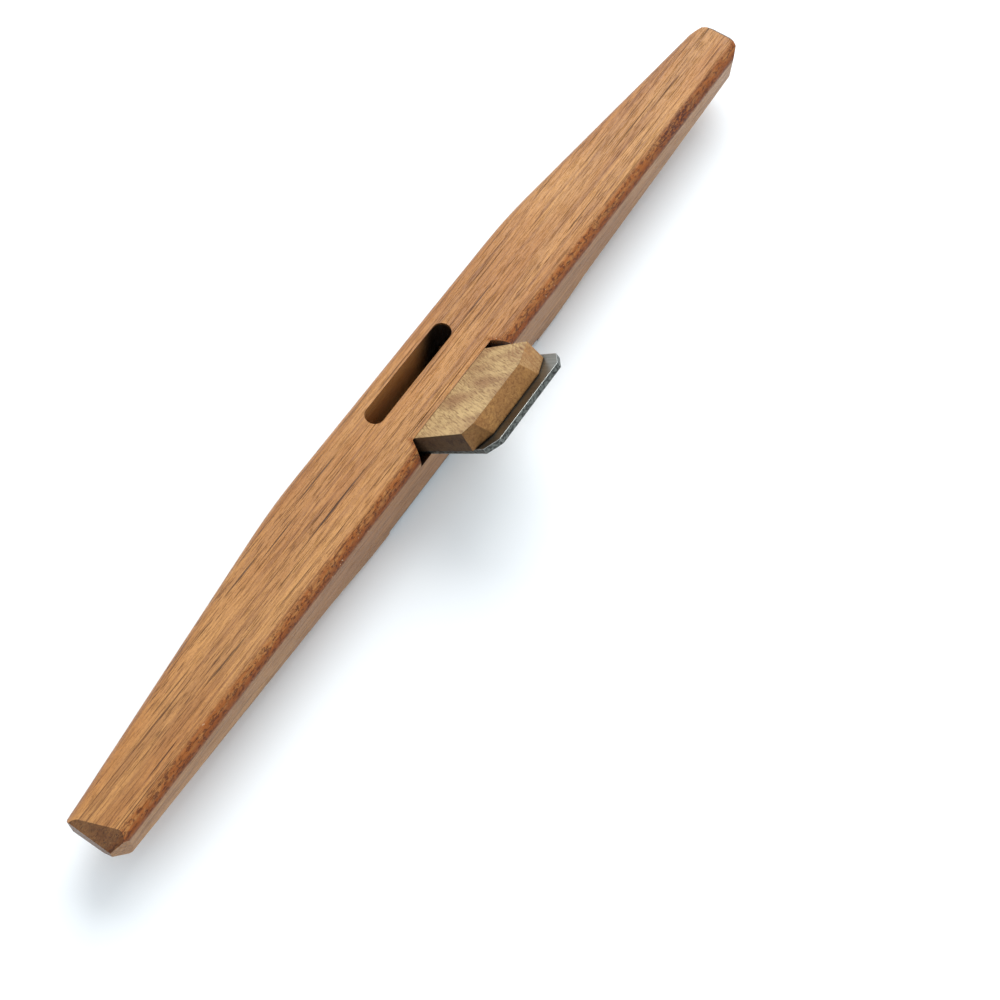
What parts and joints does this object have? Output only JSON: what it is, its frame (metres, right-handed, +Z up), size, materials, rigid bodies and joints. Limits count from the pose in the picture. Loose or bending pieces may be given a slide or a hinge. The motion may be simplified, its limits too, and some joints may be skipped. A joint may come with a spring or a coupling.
{
  "type": "wooden spokeshave",
  "caption": "Wooden spokeshave: tapered hardwood bar handles, flush steel sole plate, slanted steel iron held by a wooden wedge.",
  "frame": {"origin": "on the sole plate's flat face, at the middle of the plate, just behind the mouth", "axes": "+X along the handles, +Y the side that the iron and the wedge stand out of, +Z up from the sole"},
  "size_m": [0.28, 0.0416, 0.0381],
  "materials": {
    "stock_wood": "oiled hardwood, worn darker on the rounded edges",
    "wedge_wood": "bare, lighter hardwood",
    "plate_steel": "satin blue-grey, finely mottled",
    "iron_steel": "ground lengthwise, the bevel ground across",
    "screw_steel": "filed flush with the plate"
  },
  "bodies": {
    "stock": {"stock": "stock_wood", "sole_plate": "plate_steel", "screw_left": "screw_steel", "screw_right": "screw_steel"},
    "iron": {"iron": "iron_steel"},
    "wedge": {"wedge": "wedge_wood"}
  },
  "joints": [
    {"name": "iron_slide", "type": "slide", "parent": "stock", "child": "iron", "axis": [0, 0.6845, 0.729], "range_m": [-0.001, 0.04]},
    {"name": "wedge_slide", "type": "slide", "parent": "stock", "child": "wedge", "axis": [0, 0.6845, 0.729], "range_m": [0, 0.04]}
  ]
}
